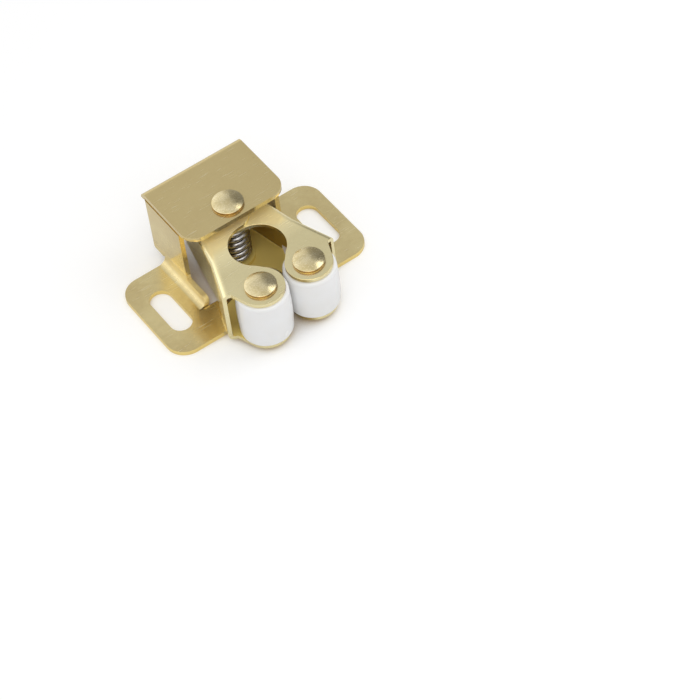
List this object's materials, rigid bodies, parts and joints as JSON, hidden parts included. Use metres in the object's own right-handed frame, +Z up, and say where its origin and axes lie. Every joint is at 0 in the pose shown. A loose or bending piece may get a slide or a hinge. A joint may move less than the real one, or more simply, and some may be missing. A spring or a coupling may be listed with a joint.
{
  "type": "double roller catch",
  "caption": "Sprung double roller catch for a cabinet door: folded sheet housing with slotted ears, pivoting channel arms and nylon rollers.",
  "frame": {"origin": "midway between the screw slots, on the mounting face under the ears", "axes": "+X towards the right ear, +Y towards the back of the box, +Z up out of the mounting face; the rollers face -Y"},
  "size_m": [0.042, 0.0348, 0.0171],
  "materials": {
    "plated_sheet": "satin brass plate on steel sheet",
    "plated_rivet": "peened brass plate on steel",
    "spring_steel": "dark spring wire",
    "nylon": "glossy white nylon"
  },
  "bodies": {
    "housing": {"housing": "plated_sheet", "pivot_rivet": "plated_rivet", "torsion_spring": "spring_steel"},
    "left_arm": {"left_arm": "plated_sheet", "left_roller_rivet": "plated_rivet"},
    "right_arm": {"right_arm": "plated_sheet", "right_roller_rivet": "plated_rivet"},
    "left_roller": {"left_roller": "nylon"},
    "right_roller": {"right_roller": "nylon"}
  },
  "joints": [
    {"name": "left_arm_swing", "type": "hinge", "parent": "housing", "child": "left_arm", "pos_m": [0, 0.0024, 0], "axis": [0, 0, -1], "range_deg": [0, 16], "stiffness_Nm_per_rad": 0.03, "springref_deg": -17.19, "deforming": ["torsion_spring"]},
    {"name": "right_arm_swing", "type": "hinge", "parent": "housing", "child": "right_arm", "pos_m": [0, 0.0024, 0], "axis": [0, 0, 1], "range_deg": [0, 16], "stiffness_Nm_per_rad": 0.03, "springref_deg": -17.19, "deforming": ["torsion_spring"]},
    {"name": "left_roller_spin", "type": "hinge", "parent": "left_arm", "child": "left_roller", "pos_m": [-0.00505, -0.0148, 0], "axis": [0, 0, 1], "continuous": true},
    {"name": "right_roller_spin", "type": "hinge", "parent": "right_arm", "child": "right_roller", "pos_m": [0.00505, -0.0148, 0], "axis": [0, 0, 1], "continuous": true}
  ]
}
